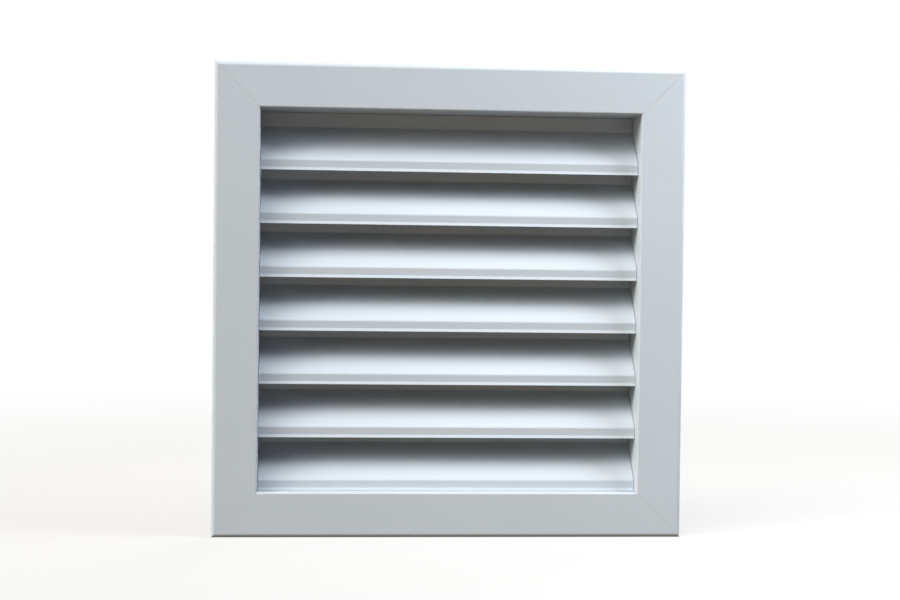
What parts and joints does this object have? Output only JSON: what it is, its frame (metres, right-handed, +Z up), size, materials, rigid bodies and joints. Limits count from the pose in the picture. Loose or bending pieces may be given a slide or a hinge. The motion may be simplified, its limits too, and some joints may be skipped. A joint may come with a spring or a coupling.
{
  "type": "weather louvre",
  "caption": "Square flanged wall louvre: fixed Z-section blades in a mitred aluminium frame shed rain and let air through, with a bird screen behind.",
  "frame": {"origin": "centre of the neck on the wall plane, which the back of the flange's rim meets", "axes": "+Y into the wall along the neck, +Z up, +X to the right as seen from the front"},
  "size_m": [0.36, 0.0591, 0.36],
  "materials": {
    "frame_coat": "silver-grey powder coat, satin",
    "blade_coat": "silver-grey powder coat, satin",
    "key_alloy": "mill finish",
    "screw_steel": "plain stainless",
    "mesh_wire": "galvanised",
    "channel_alloy": "mill finish"
  },
  "bodies": {
    "root": {"frame_head": "frame_coat", "frame_sill": "frame_coat", "frame_jamb_left": "frame_coat", "frame_jamb_right": "frame_coat", "blade_1": "blade_coat", "blade_2": "blade_coat", "blade_3": "blade_coat", "blade_4": "blade_coat", "blade_5": "blade_coat", "blade_6": "blade_coat", "blade_7": "blade_coat", "corner_key_top_left": "key_alloy", "corner_key_top_right": "key_alloy", "corner_key_bottom_left": "key_alloy", "corner_key_bottom_right": "key_alloy", "blade_screws_left": "screw_steel", "blade_screws_right": "screw_steel", "screen_screws": "screw_steel", "screen_mesh": "mesh_wire", "screen_channel_top": "channel_alloy", "screen_channel_bottom": "channel_alloy", "screen_channel_left": "channel_alloy", "screen_channel_right": "channel_alloy"}
  },
  "joints": []
}
